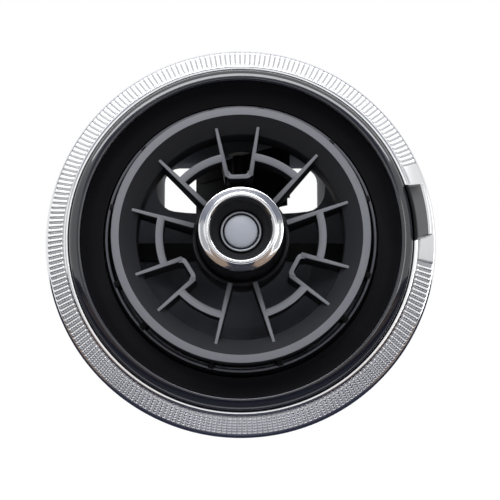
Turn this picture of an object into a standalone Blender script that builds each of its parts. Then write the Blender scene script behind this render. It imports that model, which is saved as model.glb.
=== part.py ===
"""Round dashboard air vent: a knurled control ring, an aimable spoked nozzle and a damper in its duct.

The vent's axis is Y, its face looks along -Y, and +Z is up. The origin is on the axis, in the plane of
the flange's rear face, which rests on the dashboard. Distances are in metres, written as mm values.
"""
import bpy
import bmesh
from math import asin, cos, radians, sin, sqrt
from mathutils import Matrix, Vector

mm = 0.001

# General
seat_gap = 0.3 * mm            # between pieces that touch
round_steps = 48               # facets round a large turned piece
small_steps = 16               # facets round a small turned piece

# Knurled control ring
ring_radius = 56.0 * mm        # outermost edge
ring_edge_y = -6.2 * mm        # front edge of the ring's skirt
ring_back_y = -0.6 * mm        # rear edge of the skirt, just off the dashboard
ring_wall = 1.3 * mm
band_width = 6.6 * mm          # from the outermost edge in to the bead
bead_radius = ring_radius - band_width
bead_width = 1.1 * mm          # polished bead round the ring's inner edge
bead_y = -12.4 * mm
bead_roll = 0.45 * mm          # the bead's edge turns in by this much
knurl_edge = 0.8 * mm          # plain edge outside the knurl
knurl_outer_radius = ring_radius - knurl_edge
knurl_outer_y = ring_edge_y - 0.7 * mm
knurl_inner_radius = bead_radius + bead_width
knurl_inner_y = bead_y + 1.3 * mm
knurl_teeth = 234
knurl_height = 0.42 * mm
plate_height = 0.5 * mm        # smooth plate that breaks the knurl
plate_from = -7.0              # degrees from +X, seen from the front
plate_to = 24.0
tab_from = 0.5
tab_to = 17.5
tab_crest_radius = bead_radius + 3.2 * mm
tab_crest_y = bead_y - 3.2 * mm
tab_outer_radius = tab_crest_radius + 1.1 * mm

# Dark trim ring and the bowl behind it
trim_gap = 0.9 * mm            # from the bead in to the trim
trim_wall = 1.0 * mm
trim_outer_radius = bead_radius - trim_gap
bowl_tube_radius = trim_outer_radius - trim_wall
bowl_tube_wall = 1.8 * mm
lip_width = 2.3 * mm           # from the bowl's tube in to the lip
lip_radius = bowl_tube_radius - lip_width
lip_y = -14.8 * mm

# Nozzle, turned about the pivot
pivot_y = -2.5 * mm
nozzle_tilt = 2.5              # degrees that the nozzle's face looks up at rest
bowl_width = 5.9 * mm          # from the lip in to the nozzle's spherical hoop
ball_radius = lip_radius - bowl_width
seat_front = 6.5 * mm          # front edge of the bowl's seat, ahead of the pivot
ball_gap = 0.4 * mm            # between the hoop and its seat
nozzle_face = 15.0 * mm        # rim's face ahead of the pivot
rim_gap = 3.0 * mm             # from the hoop in to the rim
rim_width = 2.4 * mm
cone_width = 4.5 * mm
rim_outer_radius = ball_radius - rim_gap
rim_inner_radius = rim_outer_radius - rim_width
throat_radius = rim_inner_radius - cone_width
throat_depth = 4.6 * mm
nozzle_wall = 1.4 * mm
hoop_front = 9.0 * mm          # hoop's edges ahead of and behind the pivot
hoop_back = 5.0 * mm
hoop_wall = 1.4 * mm
pattern_turn = 2.0             # degrees that the spoke pattern is turned
spoke_half_angle = 14.8        # straight spokes either side of 30, 150 and 270 degrees
bracket_half_angle = 10.9      # bracket legs either side of 90, 210 and 330 degrees
spoke_tip_radius = rim_inner_radius - 0.9 * mm
spoke_tip_width = 0.85 * mm
spoke_root_width = 1.55 * mm
bracket_foot_radius = 17.6 * mm
web_inner_radius = 21.9 * mm   # arcs that tie the spokes together
web_width = 2.2 * mm
web_outer_radius = web_inner_radius + web_width

# Knob on the nozzle's axis, distances ahead of the pivot
button_radius = 4.6 * mm
button_face = 18.1 * mm
button_wall = 1.3 * mm
button_hollow_front = button_face - 1.7 * mm
collar_gap = 0.45 * mm
collar_wall = 0.7 * mm
collar_face = 16.9 * mm
collar_outer_radius = button_radius + collar_gap + collar_wall
bore_radius = collar_outer_radius + seat_gap
dish_width = 2.65 * mm         # from the bore out to the dish's mouth
dish_radius = bore_radius + dish_width
knob_crest_radius = dish_radius + 0.8 * mm
knob_width = 2.2 * mm          # from the crest out to the knob's side
knob_radius = knob_crest_radius + knob_width
knob_front = 22.2 * mm
sleeve_radius = knob_radius + 2.2 * mm
sleeve_wall = 1.2 * mm
core_hollow_radius = sleeve_radius - 4.5 * mm
core_floor = 6.0 * mm
core_floor_wall = 2.9 * mm

# Cross joint at the pivot
pin_radius = 1.2 * mm
pin_play = 0.1 * mm
prong_inside = 3.4 * mm
prong_outside = 5.6 * mm
prong_half_width = 2.2 * mm
post_radius = 4.0 * mm
bridge_front_y = 17.0 * mm
bridge_back_y = 21.5 * mm
bridge_half_height = 2.5 * mm

# Housing and its duct
flange_radius = ring_radius - 2.0 * mm
flange_wall = 1.6 * mm
cup_wall = 1.8 * mm
duct_half_width = 25.7 * mm
duct_floor = 14.0 * mm
duct_roof = ball_radius - 4.3 * mm
duct_corner = 5.0 * mm
duct_wall = 1.5 * mm
duct_front_y = 10.0 * mm
duct_length = 25.5 * mm        # behind the flap's axle
flap_y = pivot_y + ball_radius + 4.7 * mm       # upright axle behind the origin
duct_end_y = flap_y + duct_length
screw_circle = bowl_tube_radius - 3.5 * mm
screw_length = 7.5 * mm
screw_angles = (48.0, 132.0, 270.0)
clip_angles = (8.0, 172.0, 232.0, 308.0)
tower_depth = 5.0 * mm
clip_seat_radius = ball_radius + ball_gap + cup_wall + 4.1 * mm
tower_back_y = 13.0 * mm
clip_reach = 5.0 * mm          # the clips' elbows stand this far out from the towers
clip_wall = 0.6 * mm

# Damper flap and its drive
flap_open_angle = 35.0         # degrees from wide open at rest
flap_half_length = 23.4 * mm
flap_wall = 2.0 * mm
flap_end_gap = 1.1 * mm        # above and below the flap, where the bushes' flanges run
flap_lip_width = 1.4 * mm
flap_lip_wall = 1.4 * mm
axle_radius = 1.5 * mm
crank_radius = 18.0 * mm
crank_wall = 1.6 * mm
ball_pin_radius = 1.5 * mm
bush_radius = 2.8 * mm
bush_flange_radius = 4.0 * mm
bush_flange_wall = 0.55 * mm
bush_bore_radius = axle_radius + 0.12 * mm
ball_pin_z = ball_radius + 6.0 * mm      # clear of the cup
drive_ratio = 2.75             # flap degrees for one degree of the ring
fork_inner_radius = ball_pin_z - 0.7 * mm
fork_outer_radius = ball_pin_z + 2.9 * mm
arm_radius = bowl_tube_radius + 1.2 * mm
arm_wall = 2.2 * mm
arm_gap = 0.5 * mm             # outside the arm, in the flange's slot
fork_half_gap = 2.2 * mm
fork_prong = 2.4 * mm
fork_sweep = 20.8              # degrees of the flange's slot either side of the top


def paint(name, colour, roughness, metallic=0.0):
    material = bpy.data.materials.new(name)
    material.use_nodes = True
    shader = material.node_tree.nodes["Principled BSDF"]
    shader.inputs["Base Color"].default_value = (*colour, 1.0)
    shader.inputs["Roughness"].default_value = roughness
    shader.inputs["Metallic"].default_value = metallic
    return material


for old in list(bpy.data.objects):
    bpy.data.objects.remove(old, do_unlink=True)

bright_chrome = paint("bright_chrome", (0.82, 0.83, 0.85), 0.16, 1.0)
dark_chrome = paint("dark_chrome", (0.16, 0.165, 0.19), 0.1, 1.0)
black_plastic = paint("black_plastic", (0.012, 0.012, 0.014), 0.4)
slate_plastic = paint("slate_plastic", (0.075, 0.08, 0.095), 0.42)
satin_silver = paint("satin_silver", (0.36, 0.37, 0.41), 0.38, 0.5)
spring_steel = paint("spring_steel", (0.55, 0.56, 0.58), 0.3, 1.0)
white_plastic = paint("white_plastic", (0.7, 0.7, 0.66), 0.45)
black_foam = paint("black_foam", (0.02, 0.02, 0.022), 0.9)

nozzle_axis = bpy.data.objects.new("nozzle_axis", None)
nozzle_axis.location = (0.0, pivot_y, 0.0)
nozzle_axis.rotation_euler = (radians(-nozzle_tilt), 0.0, 0.0)
bpy.context.collection.objects.link(nozzle_axis)


def make_object(name, mesh_data, material=None, parent=None, smooth_angle=32.0):
    """Close the mesh, point its faces outwards and link it."""
    bmesh.ops.remove_doubles(mesh_data, verts=mesh_data.verts, dist=2e-6)
    bmesh.ops.recalc_face_normals(mesh_data, faces=mesh_data.faces)
    if mesh_data.calc_volume(signed=True) < 0.0:
        bmesh.ops.reverse_faces(mesh_data, faces=mesh_data.faces)
    mesh = bpy.data.meshes.new(name)
    mesh_data.to_mesh(mesh)
    mesh_data.free()
    mesh.shade_smooth()
    mesh.set_sharp_from_angle(angle=radians(smooth_angle))
    if material:
        mesh.materials.append(material)
    item = bpy.data.objects.new(name, mesh)
    bpy.context.collection.objects.link(item)
    item.parent = parent
    return item


def turned(name, profile, steps=round_steps, material=None, parent=None, from_angle=0.0, sweep=360.0):
    """Spin an outline of (radius, y) points about the Y axis."""
    work = bmesh.new()
    start = Matrix.Rotation(-radians(from_angle), 4, "Y")
    corners = [work.verts.new(start @ Vector((radius, y, 0.0))) for radius, y in profile]
    whole = sweep >= 360.0
    if whole:
        outline = [work.edges.new((corners[i - 1], corners[i])) for i in range(len(corners))]
    else:
        outline = [work.faces.new(corners)]
    bmesh.ops.spin(work, geom=corners + outline, axis=(0.0, 1.0, 0.0), cent=(0.0, 0.0, 0.0),
                   angle=-radians(sweep), steps=steps, use_merge=whole, use_duplicate=False)
    if whole:
        bmesh.ops.dissolve_degenerate(work, dist=1e-6, edges=work.edges)
        loose = [edge for edge in work.edges if not edge.link_faces]
        bmesh.ops.delete(work, geom=loose, context="EDGES")
    else:
        open_end = [edge for edge in work.edges if edge.is_boundary]
        bmesh.ops.holes_fill(work, edges=open_end, sides=len(profile))
    return make_object(name, work, material, parent)


def extruded(name, outline, depth, placed=Matrix.Identity(4), material=None, parent=None):
    """Push a flat outline of (x, y) points along +Z by depth, then place it."""
    work = bmesh.new()
    base = work.faces.new([work.verts.new((x, y, 0.0)) for x, y in outline])
    grown = bmesh.ops.extrude_face_region(work, geom=[base])
    top = [item for item in grown["geom"] if isinstance(item, bmesh.types.BMVert)]
    bmesh.ops.translate(work, verts=top, vec=(0.0, 0.0, depth))
    bmesh.ops.transform(work, matrix=placed, verts=work.verts)
    return make_object(name, work, material, parent)


def block(name, low, high, placed=Matrix.Identity(4), material=None, parent=None):
    """A box between two corners."""
    outline = [(low[0], low[1]), (high[0], low[1]), (high[0], high[1]), (low[0], high[1])]
    lift = Matrix.Translation((0.0, 0.0, low[2]))
    return extruded(name, outline, high[2] - low[2], placed @ lift, material, parent)


def rod(name, radius, start, end, steps=small_steps, material=None, parent=None):
    """A round bar from one point to another."""
    start, end = Vector(start), Vector(end)
    along = end - start
    work = bmesh.new()
    turn = along.to_track_quat("Z", "Y").to_matrix().to_4x4()
    bmesh.ops.create_cone(work, cap_ends=True, segments=steps, radius1=radius, radius2=radius,
                          depth=along.length, matrix=Matrix.Translation((start + end) / 2) @ turn)
    return make_object(name, work, material, parent)


def boolean(target, tools, operation):
    """Join to, or cut from, the target all the tools at once, and remove them."""
    group = bpy.data.collections.new("tools")
    for tool in tools:
        group.objects.link(tool)
        tool.parent = target.parent
    step = target.modifiers.new("shape", "BOOLEAN")
    step.operation = operation
    step.solver = "EXACT"
    step.operand_type = "COLLECTION"
    step.collection = group
    bpy.context.view_layer.update()
    shaped = target.evaluated_get(bpy.context.evaluated_depsgraph_get())
    mesh = bpy.data.meshes.new_from_object(shaped)
    target.modifiers.remove(step)
    target.data = mesh
    for tool in tools:
        bpy.data.objects.remove(tool, do_unlink=True)
    bpy.data.collections.remove(group)
    mesh.shade_smooth()
    mesh.set_sharp_from_angle(angle=radians(32.0))
    return target


def join(target, tools):
    return boolean(target, tools, "UNION")


def cut(target, tools):
    return boolean(target, tools, "DIFFERENCE")


def about_axis(degrees):
    """Turn about the vent's axis, counter-clockwise as the front is seen, from +X."""
    return Matrix.Rotation(-radians(degrees), 4, "Y")


def around_pivot(radius, first, last, count):
    """Points (radius, y) on a circle about the pivot, from one distance ahead of it to another."""
    start, end = asin(first / radius), asin(last / radius)
    angles = [start + (end - start) * i / (count - 1) for i in range(count)]
    return [(radius * cos(angle), pivot_y - radius * sin(angle)) for angle in angles]


def cup_arc(radius, start_ahead):
    """Points on the cup's sphere, close together by the nozzle's seat and wider apart behind it."""
    start = -asin(start_ahead / radius)
    angles = [start] + [radians(a) for a in (9, 18, 27, 40, 56, 73)]
    return [(radius * cos(a), pivot_y + radius * sin(a)) for a in angles] + [(0.0, pivot_y + radius)]


def rounded_rectangle(half_width, bottom, top, corner, steps=5):
    """Outline of a rectangle about x = 0 with round corners."""
    centres = ((half_width - corner, bottom + corner, -90.0), (half_width - corner, top - corner, 0.0),
               (corner - half_width, top - corner, 90.0), (corner - half_width, bottom + corner, 180.0))
    points = []
    for x, y, start in centres:
        for i in range(steps + 1):
            angle = radians(start + 90.0 * i / steps)
            points.append((x + corner * cos(angle), y + corner * sin(angle)))
    return points


def strip_outline(path, thickness):
    """Outline of a bent strip that follows a path of (x, y) points."""
    sides = ([], [])
    for i, point in enumerate(path):
        here = Vector(point)
        before = (here - Vector(path[i - 1])).normalized() if i else None
        after = (Vector(path[i + 1]) - here).normalized() if i < len(path) - 1 else None
        along = ((before or after) + (after or before)).normalized()
        across = Vector((-along.y, along.x))
        reach = thickness / 2 / max(0.4, across.dot(Vector((-(after or before).y, (after or before).x))))
        for side, sign in zip(sides, (1.0, -1.0)):
            side.append(tuple(here + across * reach * sign))
    return sides[0] + sides[1][::-1]


# Axes that stand a flat outline up: local x, y, z become world axes
facing_back = Matrix(((1, 0, 0, 0), (0, 0, 1, 0), (0, 1, 0, 0), (0, 0, 0, 1)))
flange_front_y = -flange_wall
bowl_back_y = flange_front_y - seat_gap


def duct_box(name, grown_by, front, back):
    """The duct's passage as a solid, larger by a wall if asked."""
    outline = rounded_rectangle(duct_half_width + grown_by, duct_floor - grown_by,
                                duct_roof + grown_by, duct_corner + grown_by)
    place = Matrix.Translation((0.0, front, 0.0)) @ facing_back
    return extruded(name, outline, back - front, place)


def housing():
    seat = ball_radius + ball_gap
    shell = cup_arc(seat + cup_wall, pivot_y)
    profile = [(0.0, flange_front_y), (flange_radius, flange_front_y), (flange_radius, 0.0)] + shell
    body = turned("housing", profile, material=black_plastic)
    towers = []
    for angle in clip_angles:
        low = (clip_seat_radius - tower_depth, -flange_wall / 2, -4.5 * mm)
        high = (clip_seat_radius, tower_back_y, 4.5 * mm)
        towers.append(block("tower", low, high, about_axis(angle)))
    join(body, towers + [duct_box("duct", duct_wall, duct_front_y - 2.0 * mm, duct_end_y)])
    cavity = turned("cavity", [(0.0, pivot_y - 2.0 * mm)] + cup_arc(seat, 2.0 * mm))
    slot_inner = bowl_tube_radius + 0.8 * mm
    slot_outer = arm_radius + arm_wall + arm_gap
    slot = turned("slot", [(slot_inner, 2 * flange_front_y), (slot_outer, 2 * flange_front_y),
                           (slot_outer, flange_wall), (slot_inner, flange_wall)],
                  steps=12, from_angle=90.0 - fork_sweep, sweep=2 * fork_sweep)
    bush_hole = rod("hole", bush_radius + seat_gap, (0, flap_y, duct_floor - 6 * mm),
                    (0, flap_y, duct_roof + 9 * mm))
    drills = []
    for angle in screw_angles:
        spot = about_axis(angle) @ Vector((screw_circle, 0.0, 0.0))
        through = Vector((0, 3 * mm, 0))
        drills.append(rod("drill", 1.5 * mm, spot - through, spot + through, 12))
    passage = duct_box("passage", 0.0, duct_front_y, duct_end_y + 1.0 * mm)
    cut(body, [cavity, slot, bush_hole, passage] + drills)
    return body


def front_bowl():
    """Black bowl from the trim's lip down to the front half of the nozzle's seat."""
    seat_radius = ball_radius + ball_gap
    seat = around_pivot(seat_radius, pivot_y - bowl_back_y, seat_front, 5)
    seat_front_y = pivot_y - seat_front
    seat_outside = seat_radius + 1.7 * mm
    tube_inside = bowl_tube_radius - bowl_tube_wall
    profile = seat + [(seat_radius + 1.3 * mm, seat_front_y - 0.7 * mm),
                      (lip_radius - 2.0 * mm, lip_y + 3.7 * mm),
                      (lip_radius - 0.2 * mm, lip_y + 1.9 * mm), (lip_radius + 0.8 * mm, lip_y + 1.9 * mm),
                      (bowl_tube_radius - 0.9 * mm, lip_y + 2.6 * mm), (bowl_tube_radius, lip_y + 4.4 * mm),
                      (bowl_tube_radius, bowl_back_y), (tube_inside, bowl_back_y),
                      (tube_inside, lip_y + 4.6 * mm), (lip_radius - 2.2 * mm, seat_front_y - 0.2 * mm),
                      (seat_outside, seat_front_y + 1.2 * mm), (seat_outside, bowl_back_y)]
    body = turned("front_bowl", profile, material=black_plastic)
    bosses = []
    drills = []
    for angle in screw_angles:
        spot = about_axis(angle) @ Vector((screw_circle, 0.0, 0.0))
        bosses.append(rod("boss", 2.8 * mm, spot + Vector((0, lip_y + 5.4 * mm, 0)),
                          spot + Vector((0, bowl_back_y, 0)), 16))
        drills.append(rod("drill", 1.3 * mm, spot + Vector((0, -screw_length - 0.7 * mm, 0)), spot, 12))
    join(body, bosses)
    cut(body, drills)
    return body


def bowl_screws():
    for index, angle in enumerate(screw_angles):
        name = f"bowl_screw_{index + 1}"
        spot = about_axis(angle) @ Vector((screw_circle, 0.0, 0.0))
        head = turned(name, [(0.0, seat_gap), (2.2 * mm, seat_gap), (2.2 * mm, 1.0 * mm),
                             (1.6 * mm, 1.6 * mm), (0.0, 1.6 * mm)], 16, spring_steel)
        shank = rod("shank", 1.0 * mm, (0, -screw_length, 0), (0, 0.8 * mm, 0), 12)
        join(head, [shank])
        head.location = spot


def inner_trim_ring():
    """Dark chrome trim, domed from the control ring's bead in to the lip."""
    inner = lip_radius - 0.2 * mm
    outer = trim_outer_radius
    back_y = lip_y + 4.9 * mm
    tube_outside = bowl_tube_radius + seat_gap + 0.05 * mm
    profile = [(outer, back_y), (outer, lip_y + 3.8 * mm), (outer - 0.4 * mm, lip_y + 2.6 * mm),
               (outer - 1.0 * mm, lip_y + 1.5 * mm), (outer - 1.8 * mm, lip_y + 0.6 * mm),
               (lip_radius + 0.9 * mm, lip_y + 0.15 * mm), (lip_radius + 0.4 * mm, lip_y),
               (lip_radius, lip_y + 0.15 * mm), (inner, lip_y + 0.5 * mm), (inner, lip_y + 1.5 * mm),
               (lip_radius + 0.9 * mm, lip_y + 1.5 * mm), (bowl_tube_radius - 0.6 * mm, lip_y + 2.2 * mm),
               (tube_outside, lip_y + 4.1 * mm), (tube_outside, back_y)]
    turned("inner_trim_ring", profile, material=dark_chrome)


def on_knurl(share, height):
    """Point (radius, y) on the knurled cone, raised by height along its normal."""
    run = Vector((knurl_inner_radius - knurl_outer_radius, knurl_inner_y - knurl_outer_y))
    spot = Vector((knurl_outer_radius, knurl_outer_y)) + run * share
    across = Vector((-run.y, run.x)).normalized()
    if across.y > 0.0:
        across = -across
    return spot + across * height


def knurled_ring():
    """Control ring: a skirt, a knurled cone, a bead, and a smooth plate with the finger tab."""
    work = bmesh.new()
    points = knurl_teeth * 2
    coarse = points // 9
    inside_radius = ring_radius - ring_wall
    bead_inside = bead_radius - bead_roll
    plain = [(knurl_inner_radius - 0.25 * mm, knurl_inner_y - 0.35 * mm),
             (knurl_inner_radius - 0.5 * mm, bead_y + 0.4 * mm), (bead_radius + 0.25 * mm, bead_y),
             (bead_radius - 0.2 * mm, bead_y), (bead_inside, bead_y + 0.4 * mm),
             (bead_inside, bead_y + 2.7 * mm), (knurl_inner_radius - 0.1 * mm, bead_y + 2.9 * mm),
             (inside_radius, ring_edge_y + 0.5 * mm), (inside_radius, ring_back_y),
             (ring_radius, ring_back_y), (ring_radius, ring_edge_y),
             (ring_radius - 0.25 * mm, ring_edge_y - 0.4 * mm)]

    def loop_of(count, spot_at):
        found = []
        for i in range(count):
            angle = 360.0 * i / count
            radius, y = spot_at(angle, i)
            found.append(work.verts.new(about_axis(angle) @ Vector((radius, y, 0.0))))
        return found

    def height_at(angle, index):
        turned_angle = (angle - plate_from) % 360.0
        if turned_angle <= plate_to - plate_from:
            return plate_height
        return knurl_height if index % 2 else 0.0

    fine = [loop_of(points, lambda a, i: on_knurl(0.0, height_at(a, i))),
            loop_of(points, lambda a, i: on_knurl(1.0, height_at(a, i)))]
    rough = [loop_of(coarse, lambda a, i, spot=spot: spot) for spot in plain]
    for first, second in zip(fine, fine[1:]):
        for i in range(points):
            j = (i + 1) % points
            work.faces.new((first[i], first[j], second[j], second[i]))
    for first, second in zip(rough, rough[1:]):
        for i in range(coarse):
            j = (i + 1) % coarse
            work.faces.new((first[i], first[j], second[j], second[i]))
    for fine_loop, rough_loop in ((fine[-1], rough[0]), (fine[0], rough[-1])):
        step = points // coarse
        for i in range(coarse):
            j = (i + 1) % coarse
            span = [fine_loop[(i * step + k) % points] for k in range(step + 1)]
            work.faces.new(span + [rough_loop[j], rough_loop[i]])
    bmesh.ops.triangulate(work, faces=[face for face in work.faces if len(face.verts) > 4])
    body = make_object("knurled_ring", work, bright_chrome)
    tab_inner_radius = bead_radius - 0.3 * mm
    tab_profile = [(tab_inner_radius, bead_y + 1.2 * mm), (tab_inner_radius, bead_y - 0.2 * mm),
                   (tab_inner_radius + 0.5 * mm, bead_y - 0.9 * mm),
                   (tab_crest_radius - 0.5 * mm, tab_crest_y), (tab_crest_radius + 0.2 * mm, tab_crest_y),
                   (tab_outer_radius - 0.25 * mm, tab_crest_y + 1.0 * mm),
                   (tab_outer_radius, tab_crest_y + 1.8 * mm), (tab_outer_radius, bead_y + 4.4 * mm),
                   (tab_outer_radius - 1.3 * mm, bead_y + 3.8 * mm)]
    tab = turned("tab", tab_profile, 6, from_angle=tab_from, sweep=tab_to - tab_from)
    join(body, [tab])
    return body


def ring_carrier():
    """Plastic ring that the control ring is clipped to, with the fork that drives the damper."""
    inner = bowl_tube_radius + 0.5 * mm
    outer = ring_radius - ring_wall - 0.5 * mm
    front_y = bead_y + 3.4 * mm
    profile = [(inner, bowl_back_y), (outer, bowl_back_y), (outer, ring_edge_y + 0.9 * mm),
               (knurl_inner_radius - 0.2 * mm, front_y), (inner, front_y)]
    body = turned("ring_carrier", profile, material=black_plastic)
    lean = (flap_open_angle - 45.0) / drive_ratio
    place = Matrix.Rotation(radians(lean), 4, "Y")
    half = fork_half_gap + fork_prong
    fork_end_y = flap_y - crank_radius + 7.5 * mm
    arm_outside = arm_radius + arm_wall
    arm = block("arm", (-3.0 * mm, bowl_back_y - 1.1 * mm, arm_radius),
                (3.0 * mm, 9.0 * mm, arm_outside), place)
    bar = block("bar", (-half, 6.0 * mm, fork_inner_radius), (half, 9.0 * mm, arm_outside), place)
    prongs = []
    for side in (-1.0, 1.0):
        near, far = sorted((side * fork_half_gap, side * half))
        prongs.append(block("prong", (near, 7.5 * mm, fork_inner_radius),
                            (far, fork_end_y, fork_outer_radius), place))
    join(body, [arm, bar] + prongs)
    return body


def snap_clips():
    """Sprung steel clips that grip the edge of the dashboard's hole."""
    seat = clip_seat_radius + seat_gap + clip_wall / 2
    hook = tower_back_y + seat_gap + clip_wall / 2
    path = [(seat - 2.4 * mm, hook), (seat + 0.2 * mm, hook + 0.4 * mm), (seat + 2.0 * mm, hook - 0.6 * mm),
            (clip_seat_radius + clip_reach, 6.4 * mm), (clip_seat_radius + clip_reach + 0.1 * mm, 5.2 * mm),
            (clip_seat_radius + clip_reach - 1.4 * mm, 1.4 * mm)]
    leaf = strip_outline(path, clip_wall)
    leg = strip_outline([(seat, 0.9 * mm), (seat, hook + 0.5 * mm)], clip_wall)
    for index, angle in enumerate(clip_angles):
        place = about_axis(angle) @ Matrix.Translation((0, 0, -3.5 * mm))
        clip = extruded(f"snap_clip_{index + 1}", leaf, 7.0 * mm, place, spring_steel)
        join(clip, [extruded("leg", leg, 7.0 * mm, place)])


def pivot_bridge():
    """Bar across the cup, with the post and fork that hold the cross joint."""
    reach = ball_radius
    body = block("pivot_bridge", (-reach, bridge_front_y, -bridge_half_height),
                 (reach, bridge_back_y, bridge_half_height), material=black_plastic)
    fork_base_y = pivot_y + 5.5 * mm
    disc = rod("disc", 7.0 * mm, (0, bridge_front_y - 1.5 * mm, 0), (0, bridge_back_y, 0))
    post = rod("post", post_radius, (0, fork_base_y + 1.0 * mm, 0), (0, bridge_front_y, 0))
    base = block("base", (-prong_outside, fork_base_y, -prong_half_width),
                 (prong_outside, fork_base_y + 3.0 * mm, prong_half_width))
    prongs = []
    for side in (-1.0, 1.0):
        near, far = sorted((side * prong_inside, side * prong_outside))
        prongs.append(block("prong", (near, pivot_y - 2.2 * mm, -prong_half_width),
                            (far, fork_base_y + 1.0 * mm, prong_half_width)))
    join(body, [disc, post, base] + prongs)
    bore = rod("bore", pin_radius + pin_play, (-9 * mm, pivot_y, 0), (9 * mm, pivot_y, 0))
    cut(body, [bore])
    limit_radius = ball_radius + ball_gap - seat_gap
    ball = around_pivot(limit_radius, limit_radius - 9.4 * mm, 1.4 * mm - limit_radius, 24)
    limit = turned("limit", [(0.0, ball[0][1])] + ball + [(0.0, ball[-1][1])])
    boolean(body, [limit], "INTERSECT")
    return body


def gimbal_cross():
    half_x = prong_inside - 0.4 * mm
    body = block("gimbal_cross", (-half_x, -2.2 * mm, -half_x), (half_x, 2.2 * mm, half_x),
                 material=white_plastic, parent=nozzle_axis)
    reach = prong_outside + 0.2 * mm
    join(body, [rod("pin", pin_radius, (-reach, 0, 0), (reach, 0, 0))])
    join(body, [rod("pin", pin_radius, (0, 0, -reach), (0, 0, reach))])
    return body


def blade(inner, outer, inner_width, outer_width, front, back, angle, offset=0.0):
    """A tapered radial plate. front and back give its edges, ahead of the pivot, at each end."""
    work = bmesh.new()
    rings = []
    for radius, width, ahead, behind in ((inner, inner_width, front[0], back[0]),
                                         (outer, outer_width, front[1], back[1])):
        rings.append([work.verts.new((radius, -y, offset + side * width / 2))
                      for y, side in ((ahead, -1.0), (ahead, 1.0), (behind, 1.0), (behind, -1.0))])
    work.faces.new(rings[0])
    work.faces.new(rings[1][::-1])
    for i in range(4):
        j = (i + 1) % 4
        work.faces.new((rings[0][j], rings[0][i], rings[1][i], rings[1][j]))
    bmesh.ops.transform(work, matrix=about_axis(angle), verts=work.verts)
    return make_object("blade", work)


def front_edge(radius):
    """How far the spokes' front edges stand ahead of the pivot: they dish in towards the hub."""
    tip = nozzle_face - 2.2 * mm
    root = nozzle_face - 5.2 * mm
    share = (radius - sleeve_radius) / (spoke_tip_radius - sleeve_radius)
    return root + (tip - root) * share


def width_at(radius):
    share = (radius - sleeve_radius) / (spoke_tip_radius - sleeve_radius)
    return spoke_root_width + (spoke_tip_width - spoke_root_width) * share


def nozzle_angles():
    """Angles of the straight spokes and of the bracket legs, as pairs."""
    straight = []
    legs = []
    for middle in (30, 150, 270):
        middle += pattern_turn
        straight.append((middle - spoke_half_angle, middle + spoke_half_angle))
    for middle in (90, 210, 330):
        middle += pattern_turn
        legs.append((middle - bracket_half_angle, middle + bracket_half_angle))
    return straight, legs


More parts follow.
